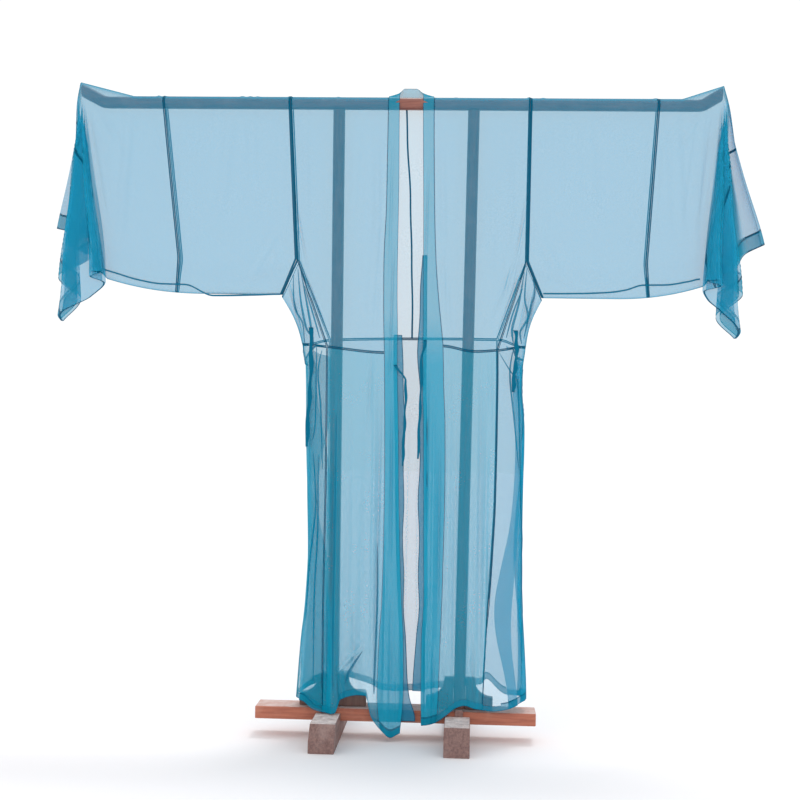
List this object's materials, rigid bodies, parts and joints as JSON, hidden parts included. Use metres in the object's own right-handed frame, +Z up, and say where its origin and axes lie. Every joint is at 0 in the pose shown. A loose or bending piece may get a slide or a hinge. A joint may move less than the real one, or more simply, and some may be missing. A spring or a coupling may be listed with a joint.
{
  "type": "sheer hanfu robe on a wooden t-rack",
  "caption": "Sheer teal hanfu robe with wide sleeves and a long collar band, hung open over the beam of a standing wooden T-rack.",
  "frame": {"origin": "on the floor under the middle of the whole object", "axes": "+X along the beam, to the right seen from the front; the robe's front faces -Y; +Z up"},
  "size_m": [1.4298, 0.316, 1.3056],
  "materials": {
    "gauze": "matte",
    "beam_wood": "satin",
    "rack_wood": "matte"
  },
  "bodies": {
    "root": {"beam": "beam_wood", "bodice_left": "gauze", "bodice_right": "gauze", "bracket_left_inner": "rack_wood", "bracket_left_outer": "rack_wood", "bracket_right_inner": "rack_wood", "bracket_right_outer": "rack_wood", "collar_band": "gauze", "cuff_left": "gauze", "cuff_right": "gauze", "facing_left": "gauze", "facing_right": "gauze", "foot_left": "rack_wood", "foot_right": "rack_wood", "gusset_left": "gauze", "gusset_right": "gauze", "peg_left": "rack_wood", "peg_right": "rack_wood", "rail": "rack_wood", "rail_key_left": "rack_wood", "rail_key_right": "rack_wood", "skirt_back": "gauze", "skirt_front_left": "gauze", "skirt_front_right": "gauze", "skirt_side_left": "gauze", "skirt_side_right": "gauze", "sleeve_end_left": "gauze", "sleeve_end_right": "gauze", "sleeve_inner_left": "gauze", "sleeve_inner_right": "gauze", "sleeve_outer_left": "gauze", "sleeve_outer_right": "gauze", "tie_front_left": "gauze", "tie_front_right": "gauze", "tie_side_left": "gauze", "tie_side_right": "gauze", "upright_left": "beam_wood", "upright_right": "beam_wood"}
  },
  "joints": []
}
